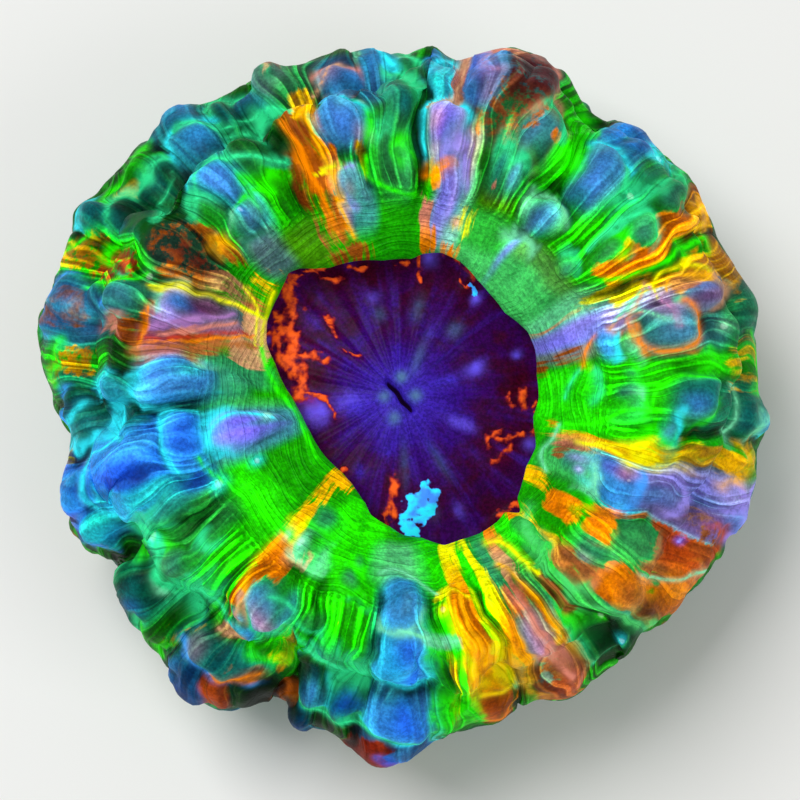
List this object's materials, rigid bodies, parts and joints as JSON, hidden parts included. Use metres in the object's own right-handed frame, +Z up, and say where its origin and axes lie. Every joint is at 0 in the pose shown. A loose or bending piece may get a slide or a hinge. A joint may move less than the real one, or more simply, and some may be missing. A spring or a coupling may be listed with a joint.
{
  "type": "acanthophyllia coral",
  "caption": "Solitary fleshy button coral: a puffed ring of tiered flesh with radial folds around a sunken disc and a slit mouth, cut flat underneath.",
  "frame": {"origin": "centre of the flat cut base, on the surface that it rests on", "axes": "+Z up through the mouth; seen from above with +Y up the page, the widest part of the opening lies at the upper left and the lip bulges in at the left and lower left"},
  "size_m": [0.1027, 0.1029, 0.0417],
  "materials": {
    "flesh": "satin"
  },
  "bodies": {
    "root": {"polyp": "flesh"}
  },
  "joints": []
}
